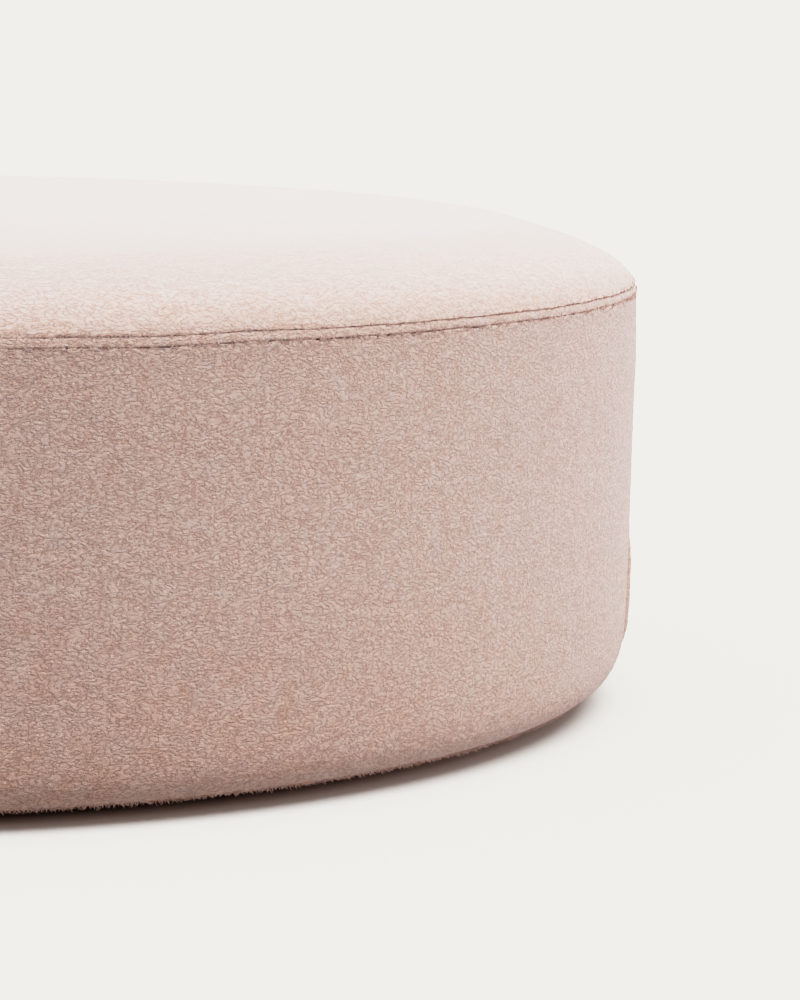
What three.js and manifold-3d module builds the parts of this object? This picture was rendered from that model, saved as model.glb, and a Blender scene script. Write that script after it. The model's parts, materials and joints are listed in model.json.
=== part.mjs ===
// Round ottoman: a filled drum covered in pile cloth, standing on a low board set back from its edge.
// Millimetres, +Z up, origin on the floor under the middle of the ottoman.
import * as THREE from "three";
import { mergeVertices } from "three/addons/utils/BufferGeometryUtils.js";
import Module from "manifold-3d";

// Overall sizes
const RADIUS = 600;
const CLOTH_HEIGHT = 402; // from the cloth's lower edge to the middle of the crown
const SEAM_HEIGHT = 324; // from the cloth's lower edge to the middle of the edge seam
const FLOOR_GAP = 13;
const PIECE_GAP = 0.3;

// Top panel: a shallow crown over the whole width, and a soft shoulder round its edge
const SHOULDER_RISE = 43;
const SHOULDER_DEPTH = 107;
const SHOULDER_FULLNESS = 1.7; // 2 is an ellipse, less is a flatter slope
const CROWN_RISE = CLOTH_HEIGHT - SEAM_HEIGHT - SHOULDER_RISE;

// Side panels: they lean in towards the floor, swell under the seam and turn under at the hem
const SIDE_LEAN = 6.6;
const HEM_TURN = 31.4;
const HEM_TURN_HEIGHT = 12;
const SWELL = 1.2;
const SWELL_HEIGHT = 275;
const SWELL_REACH = 40;

// Edge seam: a flat welt between two sewn creases
const WELT_HEIGHT = 7.4;
const WELT_DEPTH = 11;
const WELT_ROUNDING = 2.2;
const WELT_INSET = 0.8;
const CREASE_DEPTH = 3.4;
const CREASE_ROUNDING = 5;

// Vertical joins: the first is at the right, the others follow at even steps
const PANEL_COUNT = 3;
const FIRST_JOIN_ANGLE = THREE.MathUtils.degToRad(-12);
const PANEL_ANGLE = (2 * Math.PI) / PANEL_COUNT;
const JOIN_DIP_DEPTH = 7;
const JOIN_DIP_HALF_WIDTH = 3;

// Board under the cloth
const BOARD_RADIUS = 500;
const BOARD_HEIGHT = FLOOR_GAP - PIECE_GAP;
const BOARD_BEVEL = 2;

// Steps of the turned surfaces
const TURN_SEGMENTS = 72;
const SIDE_STEPS = 9;
const SHOULDER_STEPS = 9;
const CROWN_STEPS = 4;
const ROUNDING_STEPS = 3;
const WELT_STEPS = 6;

const SEAM_Z = FLOOR_GAP + SEAM_HEIGHT;
const CREASE_OFFSET = WELT_HEIGHT / 2 + PIECE_GAP;
const WELT_SEAT_RADIUS = RADIUS - WELT_DEPTH;
const POCKET_RADIUS = WELT_SEAT_RADIUS - PIECE_GAP;

const PILE_CLOTH = { color: 0xcdb0a6, roughness: 0.95, metalness: 0 };
const WELT_CLOTH = { color: 0xc6a79c, roughness: 0.95, metalness: 0 };
const DARK_BOARD = { color: 0x1c1a19, roughness: 0.8, metalness: 0 };

const wasm = await Module();
wasm.setup();

// How far the side stands inside the full radius, at a height above the cloth's lower edge.
function sideInset(height) {
  const lean = SIDE_LEAN * (1 - height / SEAM_HEIGHT) ** 2;
  const turn = HEM_TURN * Math.exp(-height / HEM_TURN_HEIGHT);
  const swell = SWELL * Math.exp(-(((height - SWELL_HEIGHT) / SWELL_REACH) ** 2));
  return lean + turn - swell;
}

// Height of the crown's curve above the edge seam, at a distance from the axis.
function crownRise(radius) {
  return CROWN_RISE * (1 - (radius / RADIUS) ** 2);
}

// Point of the shoulder at an angle from 0 at the seam to a quarter turn at its inner end.
function shoulderPoint(angle) {
  const power = 2 / SHOULDER_FULLNESS;
  const radius = RADIUS - SHOULDER_DEPTH * (1 - Math.cos(angle) ** power);
  const rise = SHOULDER_RISE * Math.sin(angle) ** power;
  return new THREE.Vector2(radius, SEAM_Z + rise + crownRise(radius));
}

// Radius of the cloth's surface at a height above or below the middle of the edge seam.
function surfaceRadius(rise) {
  if (rise < 0) return RADIUS - sideInset(SEAM_HEIGHT + rise);
  return shoulderPoint(Math.asin((rise / SHOULDER_RISE) ** (SHOULDER_FULLNESS / 2))).x;
}

// Quarter round from a crease out to the cloth's surface; way is 1 for upwards and -1 for downwards.
function creaseRounding(way) {
  const points = [];
  for (let step = 0; step <= ROUNDING_STEPS; step++) {
    const angle = (step / ROUNDING_STEPS) * (Math.PI / 2);
    const rise = way * (CREASE_OFFSET + CREASE_ROUNDING * (1 - Math.cos(angle)));
    const radius = surfaceRadius(rise) - CREASE_DEPTH * (1 - Math.sin(angle));
    points.push(new THREE.Vector2(radius, SEAM_Z + rise));
  }
  return points;
}

// Outline of the side from the axis at the hem, out and up to the seam, and back to the axis.
function sideProfile() {
  const wallTop = SEAM_HEIGHT - CREASE_OFFSET - CREASE_ROUNDING;
  const points = [new THREE.Vector2(0, FLOOR_GAP)];
  for (let step = 0; step < SIDE_STEPS; step++) {
    const height = wallTop * (step / SIDE_STEPS) ** 2;
    points.push(new THREE.Vector2(RADIUS - sideInset(height), FLOOR_GAP + height));
  }
  points.push(...creaseRounding(-1).reverse());
  points.push(new THREE.Vector2(POCKET_RADIUS, SEAM_Z - CREASE_OFFSET));
  points.push(new THREE.Vector2(POCKET_RADIUS, SEAM_Z - PIECE_GAP / 2));
  points.push(new THREE.Vector2(0, SEAM_Z - PIECE_GAP / 2));
  return points;
}

// Outline of the top from the axis at the seam, out to the crease, and over the shoulder to the axis.
function topProfile() {
  const firstRise = CREASE_OFFSET + CREASE_ROUNDING;
  const firstAngle = Math.asin((firstRise / SHOULDER_RISE) ** (SHOULDER_FULLNESS / 2));
  const points = [
    new THREE.Vector2(0, SEAM_Z + PIECE_GAP / 2),
    new THREE.Vector2(POCKET_RADIUS, SEAM_Z + PIECE_GAP / 2),
    new THREE.Vector2(POCKET_RADIUS, SEAM_Z + CREASE_OFFSET),
  ];
  points.push(...creaseRounding(1));
  for (let step = 1; step <= SHOULDER_STEPS; step++) {
    points.push(shoulderPoint(firstAngle + ((Math.PI / 2 - firstAngle) * step) / SHOULDER_STEPS));
  }
  for (let step = CROWN_STEPS - 1; step >= 0; step--) {
    const radius = ((RADIUS - SHOULDER_DEPTH) * step) / CROWN_STEPS;
    points.push(new THREE.Vector2(radius, SEAM_Z + SHOULDER_RISE + crownRise(radius)));
  }
  return points;
}

// Section of the welt: square where it is sewn in, rounded where it shows.
function weltProfile() {
  const half = WELT_HEIGHT / 2;
  const points = [new THREE.Vector2(WELT_SEAT_RADIUS, SEAM_Z - half)];
  for (let step = 0; step <= WELT_STEPS; step++) {
    const across = (2 * step) / WELT_STEPS - 1;
    const radius = surfaceRadius(half * across) - WELT_INSET - WELT_ROUNDING * across ** 2;
    points.push(new THREE.Vector2(radius, SEAM_Z + half * across));
  }
  points.push(new THREE.Vector2(WELT_SEAT_RADIUS, SEAM_Z + half));
  points.push(points[0].clone());
  return points;
}

// Section of the board, with both edges bevelled.
function boardProfile() {
  return [
    new THREE.Vector2(0, 0),
    new THREE.Vector2(BOARD_RADIUS - BOARD_BEVEL, 0),
    new THREE.Vector2(BOARD_RADIUS, BOARD_BEVEL),
    new THREE.Vector2(BOARD_RADIUS, BOARD_HEIGHT - BOARD_BEVEL),
    new THREE.Vector2(BOARD_RADIUS - BOARD_BEVEL, BOARD_HEIGHT),
    new THREE.Vector2(0, BOARD_HEIGHT),
  ];
}

// A profile turned about +Z, with a step of the turn at each vertical join.
function turned(profile) {
  const start = FIRST_JOIN_ANGLE + Math.PI / 2;
  return new THREE.LatheGeometry(profile, TURN_SEGMENTS, start).rotateX(Math.PI / 2);
}

// A closed geometry as a solid, without the flat triangles that a turned profile has on its axis.
function toSolid(geometry) {
  const bare = geometry.clone();
  bare.deleteAttribute("normal");
  bare.deleteAttribute("uv");
  const merged = mergeVertices(bare, 1e-3);
  const corners = merged.index.array;
  const triVerts = [];
  for (let i = 0; i < corners.length; i += 3) {
    const [a, b, c] = corners.subarray(i, i + 3);
    if (a !== b && b !== c && c !== a) triVerts.push(a, b, c);
  }
  return new wasm.Manifold(
    new wasm.Mesh({
      numProp: 3,
      vertProperties: merged.attributes.position.array,
      triVerts: new Uint32Array(triVerts),
    }),
  );
}

function toGeometry(solid) {
  const { vertProperties, triVerts } = solid.getMesh();
  const geometry = new THREE.BufferGeometry();
  geometry.setAttribute("position", new THREE.BufferAttribute(vertProperties, 3));
  geometry.setIndex(new THREE.BufferAttribute(triVerts, 1));
  geometry.computeVertexNormals();
  return geometry;
}

// Plan of one side panel: a sector that opens into a dip where it meets its neighbour at the surface.
function panelPlan(startAngle) {
  const reach = 1.1 * RADIUS;
  const flare = JOIN_DIP_HALF_WIDTH / JOIN_DIP_DEPTH;
  const beside = (angle, radius, offset) =>
    new THREE.Vector2(
      radius * Math.cos(angle) - offset * Math.sin(angle),
      radius * Math.sin(angle) + offset * Math.cos(angle),
    );
  const dipStart = RADIUS - JOIN_DIP_DEPTH;
  const closeOffset = PIECE_GAP / 2;
  const openOffset = closeOffset + flare * (reach - dipStart);
  const endAngle = startAngle + PANEL_ANGLE;
  const middle = startAngle + PANEL_ANGLE / 2;
  return new THREE.Shape([
    beside(middle, closeOffset / Math.sin(PANEL_ANGLE / 2), 0),
    beside(startAngle, dipStart, closeOffset),
    beside(startAngle, reach, openOffset),
    beside(middle, 2 * reach, 0),
    beside(endAngle, reach, -openOffset),
    beside(endAngle, dipStart, -closeOffset),
  ]);
}

function named(name, geometry, finish) {
  const mesh = new THREE.Mesh(geometry, new THREE.MeshStandardMaterial(finish));
  mesh.name = name;
  return mesh;
}

const ottoman = new THREE.Group();
ottoman.add(named("base_board", turned(boardProfile()), DARK_BOARD));
ottoman.add(named("flat_welt", turned(weltProfile()), WELT_CLOTH));
ottoman.add(named("top_panel", turned(topProfile()), PILE_CLOTH));

const wholeSide = toSolid(turned(sideProfile()));
for (let index = 0; index < PANEL_COUNT; index++) {
  const startAngle = FIRST_JOIN_ANGLE + (index - 1) * PANEL_ANGLE;
  const prism = new THREE.ExtrudeGeometry(panelPlan(startAngle), { depth: 2 * SEAM_Z, bevelEnabled: false });
  const panel = wholeSide.intersect(toSolid(prism));
  ottoman.add(named(`side_panel_${index + 1}`, toGeometry(panel), PILE_CLOTH));
}

export default ottoman;
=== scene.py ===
"""Round ottoman in short curly pile cloth: its looks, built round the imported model."""

import json
import math

import bmesh
import bpy
import numpy as np
from bpy.props import FloatProperty, PointerProperty, StringProperty
from bpy.types import Operator, Panel, PropertyGroup
from mathutils import Matrix, Vector, noise

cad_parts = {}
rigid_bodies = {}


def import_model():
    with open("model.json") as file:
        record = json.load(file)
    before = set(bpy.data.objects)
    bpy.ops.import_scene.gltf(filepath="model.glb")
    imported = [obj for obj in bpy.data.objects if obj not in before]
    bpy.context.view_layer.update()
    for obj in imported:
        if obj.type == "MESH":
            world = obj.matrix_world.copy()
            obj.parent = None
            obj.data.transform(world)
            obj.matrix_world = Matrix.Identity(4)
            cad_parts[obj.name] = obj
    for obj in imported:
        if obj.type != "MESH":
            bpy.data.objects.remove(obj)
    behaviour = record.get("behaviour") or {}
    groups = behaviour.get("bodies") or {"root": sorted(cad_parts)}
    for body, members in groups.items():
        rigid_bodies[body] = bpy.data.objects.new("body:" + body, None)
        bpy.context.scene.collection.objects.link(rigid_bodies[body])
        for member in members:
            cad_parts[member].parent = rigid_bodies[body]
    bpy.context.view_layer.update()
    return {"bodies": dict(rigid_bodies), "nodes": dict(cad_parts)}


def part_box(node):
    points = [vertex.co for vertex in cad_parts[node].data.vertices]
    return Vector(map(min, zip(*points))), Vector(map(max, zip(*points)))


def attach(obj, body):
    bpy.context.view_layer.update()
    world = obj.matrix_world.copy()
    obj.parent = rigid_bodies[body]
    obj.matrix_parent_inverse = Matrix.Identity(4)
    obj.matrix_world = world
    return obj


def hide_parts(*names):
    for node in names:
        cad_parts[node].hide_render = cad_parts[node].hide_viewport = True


bl_info = {
    "name": "Round Ottoman",
    "version": (1, 0, 0),
    "blender": (4, 5, 0),
    "location": "View3D > Sidebar > Ottoman",
    "description": "Covers a round ottoman in short curly pile cloth, with its seams, hem and stage",
    "category": "Object",
}

MM = 0.001
FULL_TURN = 2 * math.pi

# Steps of the turned surfaces
WALL_STEPS = 34
ROLL_STEPS = 5
SHOULDER_STEPS = 15
CROWN_STEPS = 14
TOP_TURN_STEPS = 160
WELT_STEPS = 6
WELT_TURN_STEPS = 720
HEM_FLAT = 0.925

# Filling, and how far from a sewn edge the cloth starts to give and gives fully
FILLING_PRESSURE = 4
FILLING_FRAMES = 20
GIVES_FROM_SEAM = 10 * MM
GIVES_FROM_HEM = 8 * MM
GIVES_FROM_JOIN = 6 * MM
GIVES_FULLY = 50 * MM

# Edge seam
FINE_STRAYS = 4
FINE_STRAY_SHARE = 0.4
COMB_START = 0.2
COMB_END = 0.85
COMB_FILL = 0.9

# Vertical joins
JOIN_WIDTH = 0.8
RIDGE_FOOT = (28 * MM, 50 * MM)
RIDGE_HEAD = (95 * MM, 135 * MM)
RIDGE_OFFSET = 5 * MM
RIDGE_WIDTH = 5 * MM
RIDGE_SIDE = 30 * MM

# Pile
CLUMP_GAIN = 2.2
BROAD_CLUMPS = 10
BROAD_SHARE = 0.15
SEAM_ROLL = (4 * MM, 10 * MM)
JOIN_ROLL = (-1 * MM, 5 * MM)
CROWN_START = (45 * MM, 68 * MM)
CROWN_WEAR = 0.7
CURL_FLATNESS = 1.75
STRAY_SIZE = 3 * MM
BLOTCH_SIZE = 17 * MM
PILE_BUMP = 3.4 * MM
EVEN_SHADE = 0.38
# size, detail, gain
PILE_LAYERS = ((4.9 * MM, 0.0, 2.2), (2.2 * MM, 1.0, 1.6))
FINE_SHARE = 0.45
# name, axis, where it starts and ends, value at its start and end
PILE_FADES = (
    # The first two fades set the sheen: raised to full on the crown as painted light on the top, and cut near
    # the hem, most away from +X, as painted shade at the foot.
    ("crown_sheen_light", "Z", 0.368, 0.39, 0.2, 1.0),
    ("foot_sheen_shade", "X", 0.15, 0.55, 0.1, 0.75),
    # The two contrast fades even out the painted shade and light of the curls on the crown and towards +X.
    ("crown_contrast", "Z", 0.36, 0.4, 0.94, 0.12),
    ("right_contrast", "X", 0.1, 0.6, 1.0, 0.78),
    ("top_wear", "Z", 0.33, 0.35, 1.0, 0.5),
    ("crown_wear", "Z", 0.382, 0.405, 1.0, 0.35),
    ("right_wear", "X", -0.15, 0.6, 1.0, 0.1),
    ("hem_wear", "Z", 0.015, 0.035, 0.5, 1.0),
)

# Loose fibres
HEM_FIBRES = 9000
CREASE_FIBRES = 2600
FIBRE_SEED = 7

# Stage
FLOOR_RADIUS = 400.0
# A dim glowing disc under the floor, out of the camera's sight, whose glow is painted light standing in for
# what the floor throws back to the hem.
GLOW_RADIUS = 0.56
GLOW_DEPTH = 2 * MM
# Painted shadow in the floor's colour under the ottoman: where it starts and ends, and its lightness at the
# darkest.
SHADE_START = 0.512
SHADE_END = 0.552
SHADE_LIGHT = 0.08
CAMERA_LENS = 136.6
CAMERA_SENSOR = 36.0
CAMERA_PLACE = (0.0, -3.1153, 0.5714)
CAMERA_TURN = -0.132
CAMERA_DIP = 0.1334
CAMERA_ROLL = 0.0065
ROLL_OFF_START = 0.35
ROLL_OFF_STEPS = (0.06, 0.15, 0.27, 0.42, 0.6, 0.85, 1.2, 1.7, 2.5, 4.0)
ROOM_LIGHT = 0.54
# name, degrees round from +X, degrees up, strength, degrees wide, colour
SOFT_LIGHTS = (
    ("back_softbox", 120, 31, 6.8, 50, "#F4EDFF"),
    ("high_softbox", 30, 65, 2.6, 120, "#FFFFFF"),
    ("right_softbox", 0, 40, 1.85, 120, "#FFFFFF"),
    ("left_softbox", 180, 15, 0.93, 50, "#FFFFFF"),
    ("front_softbox", 270, 60, 2.25, 50, "#FFFFFF"),
)
FLOOR_LIGHT = ("floor_softbox", 0, 90, 11.0, 90, "#FFFFFF")

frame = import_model()
BODY = next(iter(frame["bodies"]))
SIDE_NODES = sorted(name for name in frame["nodes"] if name.startswith("side_panel"))
SIDE_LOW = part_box(SIDE_NODES[0])[0]
TOP_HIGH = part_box("top_panel")[1]
WELT_LOW, WELT_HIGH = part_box("flat_welt")
CLOTH_RADIUS = WELT_HIGH.x + 1.2 * MM


class OttomanSizes(PropertyGroup):
    """Shape of the cloth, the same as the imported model's."""

    radius: FloatProperty(
        name="Radius", description="Outside of the cloth at the edge seam", unit="LENGTH",
        default=CLOTH_RADIUS,
    )
    hem_height: FloatProperty(
        name="Hem height", description="Floor to the cloth's lower edge", unit="LENGTH", default=SIDE_LOW.z
    )
    seam_height: FloatProperty(
        name="Seam height", description="Floor to the middle of the edge seam", unit="LENGTH",
        default=(WELT_LOW.z + WELT_HIGH.z) / 2,
    )
    top_height: FloatProperty(
        name="Top height", description="Floor to the middle of the crown", unit="LENGTH", default=TOP_HIGH.z
    )
    shoulder_rise: FloatProperty(
        name="Shoulder rise", description="Height of the soft shoulder", unit="LENGTH", default=43 * MM
    )
    shoulder_depth: FloatProperty(
        name="Shoulder depth", description="Width of the shoulder seen from above", unit="LENGTH",
        default=107 * MM,
    )
    shoulder_fullness: FloatProperty(
        name="Shoulder fullness", description="2 is an ellipse, less is a flatter slope", default=1.7
    )
    side_lean: FloatProperty(
        name="Side lean", description="How far the side leans in at the hem", unit="LENGTH", default=6.6 * MM
    )
    hem_turn: FloatProperty(
        name="Hem turn", description="How far the hem turns under", unit="LENGTH", default=31.4 * MM
    )
    hem_turn_height: FloatProperty(
        name="Hem turn height", description="Height in which most of the turn happens", unit="LENGTH",
        default=12 * MM,
    )
    swell: FloatProperty(
        name="Swell", description="How far the side swells out under the seam", unit="LENGTH",
        default=1.2 * MM,
    )
    swell_drop: FloatProperty(
        name="Swell drop", description="Edge seam down to the swell", unit="LENGTH", default=49 * MM
    )
    swell_reach: FloatProperty(
        name="Swell reach", description="Half the height of the swell", unit="LENGTH", default=40 * MM
    )


class OttomanSewing(PropertyGroup):
    """Seams, creases and the relief of the pile."""

    crease_depth: FloatProperty(
        name="Crease depth", description="How far a sewn crease draws in", unit="LENGTH", default=1.3 * MM
    )
    lower_crease: FloatProperty(
        name="Lower crease share",
        description="Depth of the crease under the welt as a share of the upper one's", default=0.05,
    )
    crease_rounding: FloatProperty(
        name="Crease rounding", description="Height of the roll beside a crease", unit="LENGTH",
        default=5 * MM,
    )
    welt_depth: FloatProperty(
        name="Welt depth", description="Outside of the welt to its sewn edge", unit="LENGTH",
        default=11 * MM,
    )
    piece_gap: FloatProperty(
        name="Piece gap", description="Room between two pieces of cloth", unit="LENGTH", default=0.05 * MM
    )
    wander: FloatProperty(
        name="Seam wander", description="How far the edge seam strays up and down", unit="LENGTH",
        default=1.1 * MM,
    )
    wander_length: FloatProperty(
        name="Wander length", description="Length of one stray of the edge seam", unit="LENGTH",
        default=85 * MM,
    )
    first_join: FloatProperty(
        name="First join", description="Where the first vertical join is, from +X", subtype="ANGLE",
        default=math.radians(-12),
    )
    join_dip: FloatProperty(
        name="Join dip", description="How far a vertical join draws in", unit="LENGTH", default=1.2 * MM
    )
    join_ridge: FloatProperty(
        name="Join ridge", description="Height of the turned-in edge beside the foot of a vertical join",
        unit="LENGTH", default=2.8 * MM,
    )
    hem_fibre: FloatProperty(
        name="Hem fibre", description="Longest loose fibre at the hem", unit="LENGTH", default=3.6 * MM
    )
    crease_fibre: FloatProperty(
        name="Crease fibre", description="Longest loose fibre over a sewn crease", unit="LENGTH",
        default=5 * MM,
    )
    fibre_width: FloatProperty(
        name="Fibre width", description="Thickness of a twist of loose fibre", unit="LENGTH",
        default=0.7 * MM,
    )
    welt_inset: FloatProperty(
        name="Welt inset", description="How far the welt lies inside the cloth", unit="LENGTH",
        default=0.4 * MM,
    )
    welt_rounding: FloatProperty(
        name="Welt rounding", description="How far the welt's edges turn in", unit="LENGTH",
        default=0.8 * MM,
    )
    wander_fade: FloatProperty(
        name="Wander fade", description="Height over which the seam's stray dies out", unit="LENGTH",
        default=26 * MM,
    )
    filling_reach: FloatProperty(
        name="Filling reach", description="How far the filling may press the cloth out", unit="LENGTH",
        default=2.5 * MM,
    )
    side_grid: FloatProperty(
        name="Side grid", description="Width of one face of a side panel before it is refined", unit="LENGTH",
        default=9.5 * MM,
    )
    pile_spacing: FloatProperty(
        name="Pile spacing", description="Width of one clump of pile in the mesh", unit="LENGTH",
        default=4.4 * MM,
    )
    pile_relief: FloatProperty(
        name="Pile relief", description="Height of the clumps in the mesh", unit="LENGTH", default=0.5 * MM
    )


class OttomanColours(PropertyGroup):
    """Colours, as sRGB hex values."""

    # The pile tips are paler partly as painted light on the curls' tops, and the darker colour of the gaps is
    # painted shade between the curls; the pile body is the fibre's own colour.
    tip: StringProperty(name="Pile tips", description="Outer ends of the curls", default="#DAAF9E")
    body: StringProperty(name="Pile body", description="Middle of the curls", default="#C9A090")
    crevice_shade: StringProperty(name="Pile crevice", description="Gaps between the curls", default="#A07A6C")
    sheen: StringProperty(name="Sheen", description="Light caught by loose fibres", default="#FFF0F1")
    board: StringProperty(name="Board", description="Stained board under the cloth", default="#171413")
    floor: StringProperty(name="Floor", description="Pale floor", default="#EFEDE9")
    # Colour of the painted light that the disc under the floor throws to the hem.
    glow: StringProperty(name="Glow", description="What the hem gets from the floor", default="#5C463F")
    paper: StringProperty(name="Paper", description="Whitest white of the print", default="#F0EFEB")


def hex_colour(text):
    """Linear colour with alpha from an sRGB hex value."""
    channels = [int(text[i:i + 2], 16) / 255 for i in (1, 3, 5)]
    return [c / 12.92 if c <= 0.04045 else ((c + 0.055) / 1.055) ** 2.4 for c in channels] + [1.0]


def add_node(tree, kind, inputs=None, **settings):
    """Adds a shader node with its settings, and links or sets its inputs."""
    node = tree.nodes.new("ShaderNode" + kind)
    for name, value in settings.items():
        setattr(node, name, value)
    for key, value in (inputs or {}).items():
        if isinstance(value, bpy.types.NodeSocket):
            tree.links.new(value, node.inputs[key])
        else:
            node.inputs[key].default_value = value
    return node


def new_material(name):
    """An empty node material with its output."""
    material = bpy.data.materials.new(name)
    material.use_nodes = True
    material.node_tree.nodes.clear()
    return material, material.node_tree, add_node(material.node_tree, "OutputMaterial")


def pile_cloth(colours):
    """Short curly pile of wool-like fibre, knitted and teased: matt, with painted shade darkening the gaps
    and painted light on the curls' tops, and a pale bloom.

    The curls lie flat, a fine twist runs over each, and their relief is brushed smoother on the top and
    towards +X, where the painted shade and light of the curls also fade to an even colour, as the light falls
    flatter there.
    """
    found = bpy.data.materials.get("curly_pile_cloth")
    if found:
        return found
    material, tree, output = new_material("curly_pile_cloth")
    place = add_node(tree, "TexCoord").outputs["Object"]
    flat = add_node(tree, "Mapping", {"Vector": place, "Scale": (1.0, 1.0, CURL_FLATNESS)}).outputs["Vector"]
    stray = add_node(tree, "TexNoise", {"Vector": flat, "Scale": 1 / STRAY_SIZE, "Detail": 1.0})
    centred = add_node(tree, "VectorMath", {0: stray.outputs["Color"], 1: (0.5, 0.5, 0.5)},
                       operation="SUBTRACT").outputs[0]
    shift = add_node(tree, "VectorMath", {0: centred, "Scale": STRAY_SIZE}, operation="SCALE").outputs[0]
    bent = add_node(tree, "VectorMath", {0: flat, 1: shift}, operation="ADD").outputs[0]

    layers = []
    for size, detail, gain in PILE_LAYERS:
        wave = add_node(tree, "TexNoise", {
            "Vector": bent, "Scale": 1 / size, "Detail": detail, "Roughness": 0.7,
        }, normalize=False)
        folded = add_node(tree, "Math", {0: wave.outputs["Fac"]}, operation="ABSOLUTE").outputs[0]
        raised = add_node(tree, "Math", {0: folded, 1: gain}, operation="MULTIPLY", use_clamp=True)
        layers.append(raised.outputs[0])
    curls, twist = layers
    height = add_node(tree, "Mix", {"Factor": FINE_SHARE, "A": curls, "B": twist}).outputs["Result"]

    parts = add_node(tree, "SeparateXYZ", {"Vector": place}).outputs
    fades = {}
    for name, axis, low, high, start, end in PILE_FADES:
        fades[name] = add_node(tree, "MapRange", {
            "Value": parts[axis], "From Min": low, "From Max": high, "To Min": start, "To Max": end,
        }).outputs["Result"]
    # On the crown and towards +X the curls' painted shade and light fade to an even shade.
    contrast = add_node(tree, "Math", {0: fades["crown_contrast"], 1: fades["right_contrast"]},
                        operation="MULTIPLY").outputs[0]
    shade = add_node(tree, "Mix", {"Factor": contrast, "A": EVEN_SHADE, "B": height}).outputs["Result"]
    # The ramp runs from painted shade in the gaps between the curls, through the fibre's own colour, to paler
    # tops that are partly painted light.
    ramp = add_node(tree, "ValToRGB", {"Fac": shade})
    stops = ramp.color_ramp.elements
    stops[0].position, stops[0].color = 0.05, hex_colour(colours.crevice_shade)
    stops[1].position, stops[1].color = 0.7, hex_colour(colours.tip)
    middle = stops.new(0.35)
    middle.color = hex_colour(colours.body)
    blotches = add_node(tree, "TexNoise", {"Vector": place, "Scale": 1 / BLOTCH_SIZE, "Detail": 1.0})
    dyed = add_node(tree, "MapRange", {
        "Value": blotches.outputs["Fac"], "From Min": 0.3, "From Max": 0.7, "To Min": 0.93, "To Max": 1.07,
    })
    colour = add_node(tree, "HueSaturation", {
        "Color": ramp.outputs["Color"], "Saturation": dyed.outputs["Result"],
    }).outputs["Color"]

    # The sheen weight is lower in the gaps between the curls as painted shade, and full on the crown as
    # painted light on the top.
    fuzz = add_node(tree, "MapRange", {
        "Value": shade, "From Min": 0.05, "From Max": 0.6, "To Min": fades["crown_sheen_light"],
    }).outputs["Result"]
    # Less sheen low down by the hem, most away from +X: painted shade at the foot.
    foot_shade = add_node(tree, "MapRange", {
        "Value": parts["Z"], "From Min": 0.03, "From Max": 0.17, "To Min": fades["foot_sheen_shade"],
    }).outputs["Result"]
    bloom = add_node(tree, "Math", {0: fuzz, 1: foot_shade}, operation="MULTIPLY").outputs[0]
    reach = PILE_BUMP
    for name in ("top_wear", "crown_wear", "right_wear", "hem_wear"):
        reach = add_node(tree, "Math", {0: reach, 1: fades[name]}, operation="MULTIPLY").outputs[0]
    relief = add_node(tree, "Bump", {"Height": height, "Distance": reach, "Strength": 1.0})
    cloth = add_node(tree, "BsdfPrincipled", {
        "Base Color": colour, "Normal": relief.outputs["Normal"], "Roughness": 1.0,
        "Specular IOR Level": 0.0, "Sheen Weight": bloom, "Sheen Roughness": 0.6,
        "Sheen Tint": hex_colour(colours.sheen),
    })
    tree.links.new(cloth.outputs["BSDF"], output.inputs["Surface"])
    return material


def stained_board(colours):
    """Birch ply edge stained black: matt, with the grain only just there."""
    material, tree, output = new_material("black_stained_board")
    place = add_node(tree, "TexCoord").outputs["Object"]
    along = add_node(tree, "Mapping", {"Vector": place, "Scale": (1.0, 0.08, 1.0)}).outputs["Vector"]
    grain = add_node(tree, "TexNoise", {"Vector": along, "Scale": 1 / (3 * MM), "Detail": 4.0})
    rough = add_node(tree, "MapRange", {"Value": grain.outputs["Fac"], "To Min": 0.55, "To Max": 0.8})
    relief = add_node(tree, "Bump", {"Height": grain.outputs["Fac"], "Distance": 0.1 * MM})
    board = add_node(tree, "BsdfPrincipled", {
        "Base Color": hex_colour(colours.board), "Roughness": rough.outputs["Result"],
        "Normal": relief.outputs["Normal"],
    })
    tree.links.new(board.outputs["BSDF"], output.inputs["Surface"])
    return material


def side_inset(sizes, height):
    """How far the side stands inside the full radius, at a height above the hem."""
    seam = sizes.seam_height - sizes.hem_height
    lean = sizes.side_lean * (1 - height / seam) ** 2
    turn = sizes.hem_turn * math.exp(-height / sizes.hem_turn_height)
    swell = sizes.swell * math.exp(-(((height - seam + sizes.swell_drop) / sizes.swell_reach) ** 2))
    return lean + turn - swell


def shoulder_point(sizes, angle):
    """Radius and height of the shoulder, at an angle from 0 at the seam to a quarter turn inside."""
    power = 2 / sizes.shoulder_fullness
    radius = sizes.radius - sizes.shoulder_depth * (1 - math.cos(angle) ** power)
    rise = sizes.shoulder_rise * math.sin(angle) ** power
    return radius, sizes.seam_height + rise + crown_rise(sizes, radius)


def crown_rise(sizes, radius):
    """Rise of the crown's curve above the seam, at a distance from the axis."""
    crown = sizes.top_height - sizes.seam_height - sizes.shoulder_rise
    return crown * (1 - (radius / sizes.radius) ** 2)


def surface_radius(sizes, rise):
    """Radius of the cloth at a height above or below the edge seam."""
    if rise < 0:
        return sizes.radius - side_inset(sizes, sizes.seam_height - sizes.hem_height + rise)
    share = (rise / sizes.shoulder_rise) ** (sizes.shoulder_fullness / 2)
    return shoulder_point(sizes, math.asin(share))[0]


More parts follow.
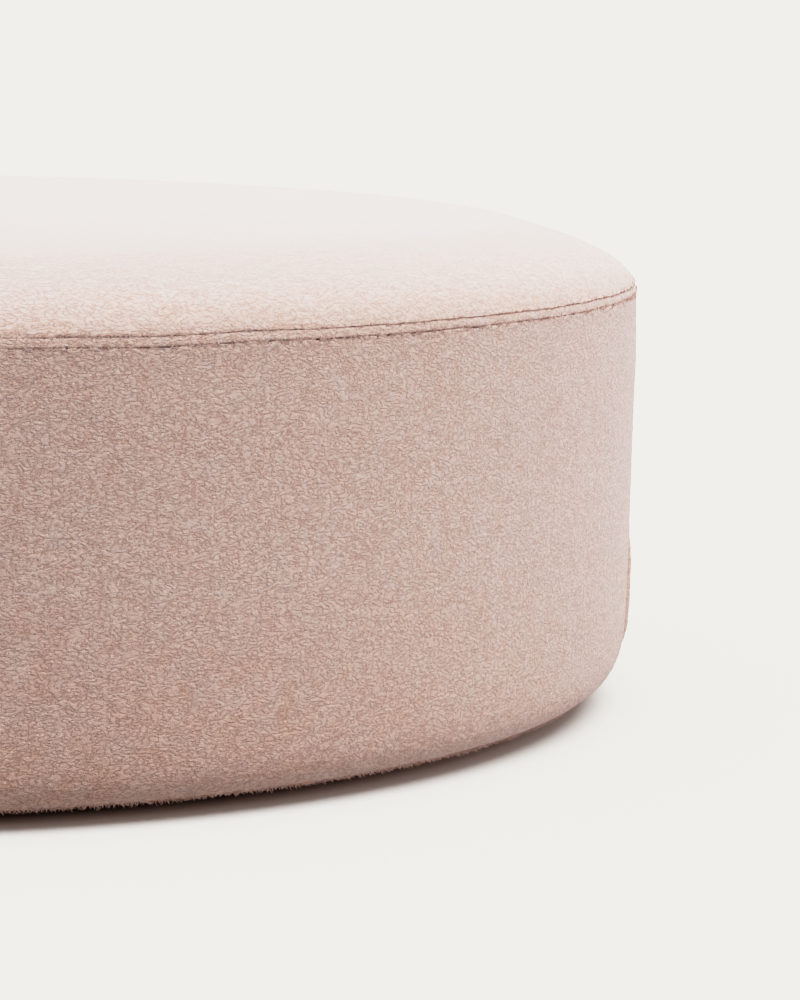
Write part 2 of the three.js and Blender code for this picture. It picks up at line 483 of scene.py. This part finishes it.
def crease_roll(sizes, sewing, way):
    """Roll of cloth from a crease out to the surface; way is 1 above the seam and -1 below it."""
    offset = (WELT_HIGH.z - WELT_LOW.z) / 2 + sewing.piece_gap
    depth = sewing.crease_depth * (1 if way > 0 else sewing.lower_crease)
    points = []
    for angle in np.linspace(0, math.pi / 2, ROLL_STEPS + 1):
        rise = way * (offset + sewing.crease_rounding * (1 - math.cos(angle)))
        radius = surface_radius(sizes, rise) - depth * (1 - math.sin(angle))
        points.append((radius, sizes.seam_height + rise))
    return points


def spun(name, outline, start, turn, steps, hidden):
    """A closed body spun from an outline of (radius, height) points, with its hidden edges kept square."""
    whole = math.isclose(turn, FULL_TURN)
    mesh = bmesh.new()
    verts = [mesh.verts.new((r * math.cos(start), r * math.sin(start), z)) for r, z in outline]
    edges = [mesh.edges.new(pair) for pair in zip(verts, verts[1:])]
    if outline[0][0] > 0:
        edges.append(mesh.edges.new((verts[-1], verts[0])))
    swept = bmesh.ops.spin(mesh, geom=verts + edges, cent=(0, 0, 0), axis=(0, 0, 1), angle=turn,
                           steps=steps, use_merge=whole)
    ends = []
    if not whole:
        last = [item for item in swept["geom_last"] if isinstance(item, bmesh.types.BMVert)]
        ends = [mesh.faces.new(verts), mesh.faces.new(last)]
    square = mesh.edges.layers.float.new("crease_edge")
    for edge in mesh.edges:
        if any(face in ends for face in edge.link_faces) or all(hidden(v.co) for v in edge.verts):
            edge[square] = 1.0
    bmesh.ops.remove_doubles(mesh, verts=mesh.verts, dist=1e-6)
    bmesh.ops.recalc_face_normals(mesh, faces=mesh.faces)
    data = bpy.data.meshes.new(name)
    mesh.to_mesh(data)
    mesh.free()
    piece = bpy.data.objects.new(name, data)
    bpy.context.scene.collection.objects.link(piece)
    return piece


def coordinates(piece):
    """The places of a piece's vertices, a row each."""
    places = np.zeros(len(piece.data.vertices) * 3)
    piece.data.vertices.foreach_get("co", places)
    return places.reshape(-1, 3)


def normals(piece):
    """The normals of a piece's vertices, a row each."""
    directions = np.zeros(len(piece.data.vertices) * 3)
    piece.data.vertices.foreach_get("normal", directions)
    return directions.reshape(-1, 3)


def set_coordinates(piece, places):
    piece.data.vertices.foreach_set("co", places.ravel())
    piece.data.update()


def radii(places):
    return np.hypot(places[:, 0], places[:, 1])


def from_join(sewing, places):
    """Angle from each point to the vertical join next to it."""
    share = FULL_TURN / len(SIDE_NODES)
    angle = np.mod(np.arctan2(places[:, 1], places[:, 0]) - sewing.first_join, share)
    return np.minimum(angle, share - angle)


def ease(value, low, high):
    """0 below low and 1 above high, with a soft step between."""
    t = np.clip((value - low) / (high - low), 0, 1)
    return t * t * (3 - 2 * t)


def smooth_noise(points, size, seed):
    """Noise from -1 to 1 at each point, for lumps of a size."""
    offset = Vector((seed * 17.3, seed * 5.1, seed * 9.7))
    return np.array([noise.noise(Vector(p) + offset) for p in (points / size).tolist()])


def fill_out(piece, sewing, free):
    """The filling presses the cloth out from a slightly smaller start; free is 0 where it is sewn down."""
    full = coordinates(piece)
    start = full - normals(piece) * (sewing.filling_reach * free)[:, None]
    set_coordinates(piece, start)
    sewn = piece.vertex_groups.new(name="sewn")
    for index in np.flatnonzero(free < 1).tolist():
        sewn.add([index], 1 - free[index], "REPLACE")
    cloth = piece.modifiers.new("filling", "CLOTH")
    cloth.settings.vertex_group_mass = sewn.name
    cloth.settings.use_pressure = True
    cloth.settings.uniform_pressure_force = FILLING_PRESSURE
    cloth.settings.effector_weights.gravity = 0
    cloth.point_cache.frame_end = FILLING_FRAMES
    scene = bpy.context.scene
    for step in range(1, FILLING_FRAMES + 1):
        scene.frame_set(step)
    pressed = piece.evaluated_get(bpy.context.evaluated_depsgraph_get())
    move = coordinates(pressed) - start
    length = np.maximum(np.linalg.norm(move, axis=1), 1e-9)
    capped = sewing.filling_reach * np.tanh(length / sewing.filling_reach)
    scene.frame_set(1)
    piece.modifiers.remove(cloth)
    piece.vertex_groups.remove(sewn)
    set_coordinates(piece, start + move * (capped / length)[:, None])


def refine(piece, levels):
    """Subdivides a piece to the spacing that its pile needs."""
    smooth = piece.modifiers.new("refine", "SUBSURF")
    smooth.levels = smooth.render_levels = levels
    fine = bpy.data.meshes.new_from_object(piece.evaluated_get(bpy.context.evaluated_depsgraph_get()))
    piece.modifiers.remove(smooth)
    coarse, piece.data = piece.data, fine
    name = coarse.name
    bpy.data.meshes.remove(coarse)
    fine.name = name
    fine.shade_smooth()


def wander_seam(piece, sizes, sewing):
    """The edge seam strays a little up and down; every piece that meets there strays with it."""
    places = coordinates(piece)
    outward = places.copy()
    outward[:, 2] = 0
    ring = outward / np.maximum(radii(places), 1e-6)[:, None] * sizes.radius
    near_skin = ease(radii(places), 0.9 * sizes.radius, 0.95 * sizes.radius)
    near_seam = np.exp(-(((places[:, 2] - sizes.seam_height) / sewing.wander_fade) ** 2))
    near = near_skin * near_seam
    stray = np.zeros(len(places))
    moved = near > 0.01
    stray[moved] = smooth_noise(ring[moved], sewing.wander_length, 3)
    stray[moved] += FINE_STRAY_SHARE * smooth_noise(ring[moved], sewing.wander_length / FINE_STRAYS, 4)
    places[:, 2] += sewing.wander * stray * near
    set_coordinates(piece, places)


def comb_over(piece, sizes, sewing):
    """The pile is combed over the creases towards +X, so they fill up there."""
    places = coordinates(piece)
    offset = (WELT_HIGH.z - WELT_LOW.z) / 2
    beside = ease(np.abs(places[:, 2] - sizes.seam_height), offset, offset + 0.6 * sewing.crease_rounding)
    on_skin = radii(places) > sizes.radius - 0.7 * sewing.welt_depth
    combed = ease(places[:, 0], COMB_START * sizes.radius, COMB_END * sizes.radius)
    fill = COMB_FILL * sewing.crease_depth * combed * (1 - beside) * on_skin
    places[:, :2] *= (1 + fill / np.maximum(radii(places), 1e-6))[:, None]
    set_coordinates(piece, places)


def raise_pile(piece, sewing, weight):
    """Clumps of pile as rounded lumps with narrow gaps, along each vertex's own normal."""
    places = coordinates(piece)
    shown = weight > 0
    flat = places[shown] * (1, 1, CURL_FLATNESS)
    lumps = CLUMP_GAIN * np.abs(smooth_noise(flat, 2 * sewing.pile_spacing, 1))
    broad = smooth_noise(places[shown], BROAD_CLUMPS * sewing.pile_spacing, 2)
    rise = sewing.pile_relief * (np.minimum(lumps, 1) - 0.5) + BROAD_SHARE * sewing.pile_relief * broad
    places[shown] += normals(piece)[shown] * (rise * weight[shown])[:, None]
    set_coordinates(piece, places)


def twists(name, roots, ways, bends, lengths, width):
    """Loose twists of fibre as one mesh: three-sided, tapered and curved, closed at the root and tip."""
    count = len(roots)
    ways = ways / np.linalg.norm(ways, axis=1)[:, None]
    side = np.cross(ways, (0.0, 0.31, 0.95))
    side /= np.linalg.norm(side, axis=1)[:, None]
    up = np.cross(ways, side)
    rings = []
    for share, girth in ((0.0, 1.0), (0.55, 0.75)):
        middle = roots + (ways * share + bends * share ** 2) * lengths[:, None]
        for corner in range(3):
            angle = corner * FULL_TURN / 3
            rings.append(middle + (side * math.cos(angle) + up * math.sin(angle)) * girth * width / 2)
    rings.append(roots + (ways + bends) * lengths[:, None])
    places = np.stack(rings, axis=1).reshape(-1, 3)
    quads = [(k, (k + 1) % 3, (k + 1) % 3 + 3, k + 3) for k in range(3)]
    tips = [(k + 3, (k + 1) % 3 + 3, 6) for k in range(3)]
    faces = [tuple(7 * i + k for k in face) for i in range(count) for face in [(2, 1, 0), *quads, *tips]]
    data = bpy.data.meshes.new(name)
    data.from_pydata(places.tolist(), [], faces)
    piece = bpy.data.objects.new(name, data)
    bpy.context.scene.collection.objects.link(piece)
    return piece


def dress(piece, colours, node):
    """Gives a finished piece its cloth and its body, and hides the node that it stands for."""
    bpy.data.collections["lit_ottoman"].objects.link(piece)
    piece.data.materials.clear()
    piece.data.materials.append(pile_cloth(colours))
    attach(piece, BODY)
    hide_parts(node)


class OTTOMAN_OT_side_panels(Operator):
    """Make the filled side panels, with their joins and their turned hem"""

    bl_idname = "ottoman.side_panels"
    bl_label = "Side panels"

    def execute(self, context):
        scene = context.scene
        sizes, sewing = scene.ottoman_sizes, scene.ottoman_sewing
        outline = self.outline(sizes, sewing)
        pocket = sizes.radius - sewing.welt_depth
        share = FULL_TURN / len(SIDE_NODES)
        gap = sewing.piece_gap / sizes.radius
        steps = round(share * sizes.radius / sewing.side_grid)

        def hidden(place):
            under_wall = place.z < sizes.hem_height + 1e-6 and place.xy.length < HEM_FLAT * sizes.radius
            return under_wall or (place.z > sizes.hem_height + 1e-6 and place.xy.length < pocket)

        for index, node in enumerate(SIDE_NODES):
            start = sewing.first_join + (index - 1) * share
            piece = spun(node + "_cloth", outline, start + gap / 2, share - gap, steps, hidden)
            fill_out(piece, sewing, self.free_share(piece, sizes, sewing))
            refine(piece, 2)
            self.draw_in_joins(piece, sizes, sewing)
            wander_seam(piece, sizes, sewing)
            raise_pile(piece, sewing, self.pile_share(piece, sizes, sewing))
            dress(piece, scene.ottoman_colours, node)
        return {"FINISHED"}

    def outline(self, sizes, sewing):
        """From the axis at the hem, out and up to the seam, and back to the axis."""
        roll = crease_roll(sizes, sewing, -1)
        wall_height = roll[-1][1] - sizes.hem_height
        heights = wall_height * np.linspace(0, 1, WALL_STEPS + 1) ** 1.5
        wall = [(sizes.radius - side_inset(sizes, h), sizes.hem_height + h) for h in heights]
        pocket = sizes.radius - sewing.welt_depth - sewing.piece_gap
        middle = sizes.seam_height - sewing.piece_gap / 2
        return [(0.0, sizes.hem_height), (0.9 * sizes.radius, sizes.hem_height),
                (HEM_FLAT * sizes.radius, sizes.hem_height), *wall, *roll[-2::-1],
                (pocket, roll[0][1]), (pocket, middle), (0.0, middle)]

    def free_share(self, piece, sizes, sewing):
        places = coordinates(piece)
        below_seam = sizes.seam_height - places[:, 2]
        above_hem = places[:, 2] - sizes.hem_height
        aside = from_join(sewing, places) * sizes.radius
        on_skin = radii(places) > sizes.radius - sizes.hem_turn - sizes.side_lean
        return (on_skin * ease(below_seam, GIVES_FROM_SEAM, GIVES_FULLY)
                * ease(above_hem, GIVES_FROM_HEM, GIVES_FULLY) * ease(aside, GIVES_FROM_JOIN, GIVES_FULLY))

    def draw_in_joins(self, piece, sizes, sewing):
        """The cloth rolls in at each vertical join, and its turned-in edge stands proud near the foot."""
        places = coordinates(piece)
        aside = from_join(sewing, places) * sizes.radius
        on_skin = radii(places) > 0.93 * sizes.radius
        dip = sewing.join_dip * np.exp(-((aside / (JOIN_WIDTH * sewing.join_dip)) ** 1.5)) * on_skin
        height = places[:, 2] - sizes.hem_height
        at_foot = ease(height, *RIDGE_FOOT) * (1 - ease(height, *RIDGE_HEAD))
        beyond = np.arctan2(places[:, 1], places[:, 0]) - sewing.first_join
        past_join = np.mod(beyond, FULL_TURN / len(SIDE_NODES)) * sizes.radius < RIDGE_SIDE
        ridge = np.exp(-(((aside - RIDGE_OFFSET) / RIDGE_WIDTH) ** 2))
        dip -= sewing.join_ridge * ridge * at_foot * past_join * on_skin
        places[:, :2] *= (1 - dip / np.maximum(radii(places), 1e-6))[:, None]
        set_coordinates(piece, places)

    def pile_share(self, piece, sizes, sewing):
        places = coordinates(piece)
        below_seam = sizes.seam_height - places[:, 2]
        on_skin = radii(places) > sizes.radius - sizes.hem_turn - sizes.side_lean - 2 * MM
        join = from_join(sewing, places) * sizes.radius
        return on_skin * (2.2 - 1.2 * ease(below_seam, *SEAM_ROLL)) * ease(join, *JOIN_ROLL)


class OTTOMAN_OT_top_panel(Operator):
    """Make the filled top panel, with its crown and soft shoulder"""

    bl_idname = "ottoman.top_panel"
    bl_label = "Top panel"

    def execute(self, context):
        scene = context.scene
        sizes, sewing = scene.ottoman_sizes, scene.ottoman_sewing
        pocket = sizes.radius - sewing.welt_depth

        def hidden(place):
            return place.z < sizes.seam_height + WELT_HIGH.z - WELT_LOW.z and place.xy.length < pocket

        piece = spun("top_panel_cloth", self.outline(sizes, sewing), 0.0, FULL_TURN, TOP_TURN_STEPS, hidden)
        above = coordinates(piece)[:, 2] - sizes.seam_height
        fill_out(piece, sewing, ease(above, GIVES_FROM_SEAM, GIVES_FULLY))
        refine(piece, 2)
        comb_over(piece, sizes, sewing)
        wander_seam(piece, sizes, sewing)
        places = coordinates(piece)
        above = places[:, 2] - sizes.seam_height
        on_skin = (radii(places) > pocket) | (above > 9 * MM)
        worn = 1 - CROWN_WEAR * ease(above, *CROWN_START)
        raise_pile(piece, sewing, on_skin * worn * (2.4 - 1.1 * ease(above, *SEAM_ROLL)))
        dress(piece, scene.ottoman_colours, "top_panel")
        return {"FINISHED"}

    def outline(self, sizes, sewing):
        """From the axis at the seam, out to the crease, and over the shoulder to the axis."""
        roll = crease_roll(sizes, sewing, 1)
        rise = roll[-1][1] - sizes.seam_height
        first = math.asin((rise / sizes.shoulder_rise) ** (sizes.shoulder_fullness / 2))
        shoulder = [shoulder_point(sizes, a) for a in np.linspace(first, math.pi / 2, SHOULDER_STEPS + 1)]
        inner = sizes.radius - sizes.shoulder_depth
        level = sizes.seam_height + sizes.shoulder_rise
        crown = [(r, level + crown_rise(sizes, r)) for r in np.linspace(inner, 0, CROWN_STEPS + 1)]
        pocket = sizes.radius - sewing.welt_depth - sewing.piece_gap
        middle = sizes.seam_height + sewing.piece_gap / 2
        return [(0.0, middle), (pocket, middle), (pocket, roll[0][1]), *roll, *shoulder[1:], *crown[1:]]


class OTTOMAN_OT_flat_welt(Operator):
    """Make the flat welt that lies in the edge seam"""

    bl_idname = "ottoman.flat_welt"
    bl_label = "Flat welt"

    def execute(self, context):
        scene = context.scene
        sizes, sewing = scene.ottoman_sizes, scene.ottoman_sewing
        half = (WELT_HIGH.z - WELT_LOW.z) / 2
        seat = sizes.radius - sewing.welt_depth
        face = []
        for across in np.linspace(-1, 1, WELT_STEPS + 1):
            radius = surface_radius(sizes, half * across) - sewing.welt_inset
            rounding = sewing.welt_rounding * (1 if across > 0 else sewing.lower_crease)
            face.append((radius - rounding * abs(across) ** 4, sizes.seam_height + half * across))
        outline = [(seat, sizes.seam_height - half), *face, (seat, sizes.seam_height + half)]
        piece = spun("flat_welt_cloth", outline, 0.0, FULL_TURN, WELT_TURN_STEPS, lambda place: False)
        refine(piece, 1)
        wander_seam(piece, sizes, sewing)
        shown = radii(coordinates(piece)) > sizes.radius - 4 * MM
        raise_pile(piece, sewing, 1.2 * shown)
        dress(piece, scene.ottoman_colours, "flat_welt")
        return {"FINISHED"}


class OTTOMAN_OT_loose_fibres(Operator):
    """Add the loose fibres that hang at the hem and lie over the sewn creases"""

    bl_idname = "ottoman.loose_fibres"
    bl_label = "Loose fibres"

    def execute(self, context):
        scene = context.scene
        sizes, sewing = scene.ottoman_sizes, scene.ottoman_sewing
        chance = np.random.default_rng(FIBRE_SEED)
        parts = [self.at_hem(sizes, sewing, chance)]
        half = (WELT_HIGH.z - WELT_LOW.z) / 2
        for way in (1, -1):
            roll = crease_roll(sizes, sewing, way)
            parts.append(self.over_crease(roll[1:4], -way, sizes, sewing, chance))
            edge = surface_radius(sizes, way * half) - sewing.welt_inset - sewing.welt_rounding
            welt = [(edge + 0.6 * MM * k, sizes.seam_height + way * (half - 0.7 * MM * k)) for k in range(3)]
            parts.append(self.over_crease(welt, way, sizes, sewing, chance))
        roots, ways, bends, lengths = (np.concatenate(column) for column in zip(*parts))
        piece = twists("loose_fibres", roots, ways, bends, lengths, sewing.fibre_width)
        wander_seam(piece, sizes, sewing)
        bpy.data.collections["lit_ottoman"].objects.link(piece)
        piece.data.materials.append(pile_cloth(scene.ottoman_colours))
        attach(piece, BODY)
        return {"FINISHED"}

    def directions(self, angles, outward, along, upward):
        """A direction for each fibre, from its parts away from the axis, round it and up."""
        return np.stack([outward * np.cos(angles) - along * np.sin(angles),
                         outward * np.sin(angles) + along * np.cos(angles), upward], axis=1)

    def at_hem(self, sizes, sewing, chance):
        angles = chance.uniform(0, FULL_TURN, HEM_FIBRES)
        heights = chance.uniform(0, 3 * MM, HEM_FIBRES)
        out = np.array([sizes.radius - side_inset(sizes, h) for h in heights]) - 0.4 * MM
        roots = np.stack([out * np.cos(angles), out * np.sin(angles), sizes.hem_height + heights], axis=1)
        ways = self.directions(angles, chance.uniform(0.1, 0.9, HEM_FIBRES),
                               chance.normal(0, 0.6, HEM_FIBRES), chance.uniform(-1.2, -0.3, HEM_FIBRES))
        bends = self.directions(angles, chance.normal(0, 0.25, HEM_FIBRES),
                                chance.normal(0, 0.4, HEM_FIBRES), chance.normal(0.1, 0.25, HEM_FIBRES))
        lengths = sewing.hem_fibre * chance.uniform(0.35, 1, HEM_FIBRES)
        return roots, ways, bends, lengths

    def over_crease(self, outline, way, sizes, sewing, chance):
        """Fibres rooted on an outline beside a crease, that arch over it upwards or downwards."""
        angles = chance.uniform(0, FULL_TURN, CREASE_FIBRES)
        place = np.array(outline)[chance.integers(0, len(outline), CREASE_FIBRES)]
        out = place[:, 0] - 0.3 * MM
        roots = np.stack([out * np.cos(angles), out * np.sin(angles), place[:, 1]], axis=1)
        ways = self.directions(angles, chance.uniform(0.1, 0.5, CREASE_FIBRES),
                               chance.normal(0, 0.5, CREASE_FIBRES),
                               way * chance.uniform(0.6, 1, CREASE_FIBRES))
        bends = self.directions(angles, chance.uniform(-0.4, 0, CREASE_FIBRES),
                                chance.normal(0, 0.3, CREASE_FIBRES), chance.normal(0, 0.1, CREASE_FIBRES))
        lengths = sewing.crease_fibre * chance.uniform(0.4, 1, CREASE_FIBRES)
        return roots, ways, bends, lengths


class OTTOMAN_OT_base_board(Operator):
    """Finish the board under the cloth"""

    bl_idname = "ottoman.base_board"
    bl_label = "Base board"

    def execute(self, context):
        board = frame["nodes"]["base_board"]
        material = stained_board(context.scene.ottoman_colours)
        board.data.materials.clear()
        board.data.materials.append(material)
        return {"FINISHED"}


class OTTOMAN_OT_stage(Operator):
    """Lay the pale floor and set up the light and the camera"""

    bl_idname = "ottoman.stage"
    bl_label = "Stage"

    def execute(self, context):
        scene = context.scene
        floor = self.lay_floor(scene.ottoman_colours)
        self.light_room(scene, floor)
        self.place_camera(scene)
        self.set_print_curve(scene, hex_colour(scene.ottoman_colours.paper))
        return {"FINISHED"}

    def lay_disc(self, name, radius, drop, kind, colour):
        """A level disc with one plain shader, at a depth below the floor."""
        mesh = bmesh.new()
        low = Matrix.Translation((0.0, 0.0, -drop))
        bmesh.ops.create_circle(mesh, cap_ends=True, segments=96, radius=radius, matrix=low)
        data = bpy.data.meshes.new(name)
        mesh.to_mesh(data)
        mesh.free()
        disc = bpy.data.objects.new(name, data)
        bpy.context.scene.collection.objects.link(disc)
        material, tree, output = new_material(name)
        tree.links.new(add_node(tree, kind, {"Color": colour}).outputs[0], output.inputs["Surface"])
        material.cycles.emission_sampling = "NONE"
        data.materials.append(material)
        return disc

    def lay_floor(self, colours):
        """A pale floor that throws no light back, with a painted shadow in its colour under the ottoman.

        What it would throw back to the hem is painted light from a dim glowing disc just under it, out of the
        camera's sight.
        """
        colour = hex_colour(colours.floor)
        floor = self.lay_disc("pale_floor", FLOOR_RADIUS, 0.0, "BsdfDiffuse", colour)
        floor.visible_diffuse = False
        tree = floor.data.materials[0].node_tree
        # Painted shadow: the floor's colour fades to near black under the ottoman.
        place = add_node(tree, "TexCoord").outputs["Object"]
        away = add_node(tree, "VectorMath", {0: place}, operation="LENGTH").outputs["Value"]
        lit = add_node(tree, "MapRange", {
            "Value": away, "From Min": SHADE_START, "From Max": SHADE_END, "To Min": SHADE_LIGHT,
        }, interpolation_type="SMOOTHSTEP").outputs["Result"]
        painted_shadow = add_node(tree, "MixRGB", {"Fac": lit, "Color1": (0.0, 0.0, 0.0, 1.0), "Color2": colour})
        tree.links.new(painted_shadow.outputs["Color"], tree.nodes["Diffuse BSDF"].inputs["Color"])
        # Painted light: a glowing disc out of sight that lights the hem from below.
        glow = self.lay_disc("painted_bounce_glow", GLOW_RADIUS, GLOW_DEPTH, "Emission", hex_colour(colours.glow))
        glow.visible_camera = glow.visible_shadow = glow.visible_glossy = False
        return floor

    def light_room(self, scene, floor):
        """Soft boxes that light only the ottoman, and one overhead that lights only the floor."""
        world = bpy.data.worlds.new("dim_room")
        world.use_nodes = True
        fill = world.node_tree.nodes["Background"]
        fill.inputs["Color"].default_value = (1.0, 1.0, 1.0, 1.0)
        fill.inputs["Strength"].default_value = ROOM_LIGHT
        scene.world = world
        floor_only = bpy.data.collections.new("lit_floor")
        floor_only.objects.link(floor)
        ottoman_only = bpy.data.collections.new("lit_ottoman")
        for piece in frame["nodes"].values():
            ottoman_only.objects.link(piece)
        for settings in SOFT_LIGHTS:
            self.add_light(*settings, ottoman_only)
        self.add_light(*FLOOR_LIGHT, floor_only)

    def add_light(self, name, around, up, strength, width, colour, lit):
        """A broad soft light: its direction round and up, and the angle that it fills, in degrees."""
        lamp = bpy.data.lights.new(name, "SUN")
        lamp.energy, lamp.angle, lamp.color = strength, math.radians(width), hex_colour(colour)[:3]
        light = bpy.data.objects.new(name, lamp)
        turn = Matrix.Rotation(math.radians(around), 3, "Z") @ Matrix.Rotation(math.radians(-up), 3, "Y")
        towards = turn @ Vector((1.0, 0.0, 0.0))
        light.rotation_euler = (-towards).to_track_quat("-Z", "Y").to_euler()
        light.location = towards * 4
        light.light_linking.receiver_collection = lit
        bpy.context.scene.collection.objects.link(light)

    def place_camera(self, scene):
        """Stands the camera where the photograph's was."""
        camera = bpy.data.cameras.new("photo_camera")
        camera.lens, camera.sensor_width = CAMERA_LENS, CAMERA_SENSOR
        camera.clip_start, camera.clip_end = 0.1, 2 * FLOOR_RADIUS
        holder = bpy.data.objects.new("photo_camera", camera)
        turn = Matrix.Rotation(CAMERA_TURN, 4, "Z") @ Matrix.Rotation(math.pi / 2 - CAMERA_DIP, 4, "X")
        roll = Matrix.Rotation(CAMERA_ROLL, 4, "Z")
        holder.matrix_world = Matrix.Translation(CAMERA_PLACE) @ turn @ roll
        scene.collection.objects.link(holder)
        scene.camera = holder

    def set_print_curve(self, scene, white):
        """A print's curve: straight up to the mid tones, then rolled off to the white of the paper."""
        view = scene.view_settings
        view.view_transform = "Standard"
        view.look = "None"
        view.use_curve_mapping = True
        mapping = view.curve_mapping
        mapping.use_clip = False
        mapping.extend = "HORIZONTAL"
        longest = ROLL_OFF_START + ROLL_OFF_STEPS[-1]
        mapping.curves[3].points[1].location = (longest, longest)
        for curve, top in zip(mapping.curves, white[:3]):
            room = top - ROLL_OFF_START
            curve.points[0].location = (0.0, 0.0)
            curve.points[1].location = (ROLL_OFF_START, ROLL_OFF_START)
            for step in ROLL_OFF_STEPS:
                rolled = ROLL_OFF_START + room * (1 - math.exp(-step / room))
                curve.points.new(ROLL_OFF_START + step, rolled)
        mapping.update()


class OTTOMAN_PT_sidebar(Panel):
    """Lists the steps in the sidebar"""

    bl_label = "Round ottoman"
    bl_space_type = "VIEW_3D"
    bl_region_type = "UI"
    bl_category = "Ottoman"

    def draw(self, context):
        for step in STEPS:
            self.layout.operator(step.bl_idname)
        scene = context.scene
        for group in (scene.ottoman_sizes, scene.ottoman_sewing, scene.ottoman_colours):
            box = self.layout.box()
            for name in group.bl_rna.properties.keys():
                if name not in ("rna_type", "name"):
                    box.prop(group, name)


STEPS = (
    OTTOMAN_OT_stage,
    OTTOMAN_OT_side_panels,
    OTTOMAN_OT_top_panel,
    OTTOMAN_OT_flat_welt,
    OTTOMAN_OT_loose_fibres,
    OTTOMAN_OT_base_board,
)
CLASSES = (OttomanSizes, OttomanSewing, OttomanColours, *STEPS, OTTOMAN_PT_sidebar)


def register():
    for item in CLASSES:
        bpy.utils.register_class(item)
    bpy.types.Scene.ottoman_sizes = PointerProperty(type=OttomanSizes)
    bpy.types.Scene.ottoman_sewing = PointerProperty(type=OttomanSewing)
    bpy.types.Scene.ottoman_colours = PointerProperty(type=OttomanColours)


def unregister():
    del bpy.types.Scene.ottoman_colours
    del bpy.types.Scene.ottoman_sewing
    del bpy.types.Scene.ottoman_sizes
    for item in reversed(CLASSES):
        bpy.utils.unregister_class(item)


def main():
    """Builds every piece and the stage."""
    register()
    for step in STEPS:
        group, name = step.bl_idname.split(".")
        getattr(getattr(bpy.ops, group), name)()


if __name__ == "__main__":
    main()
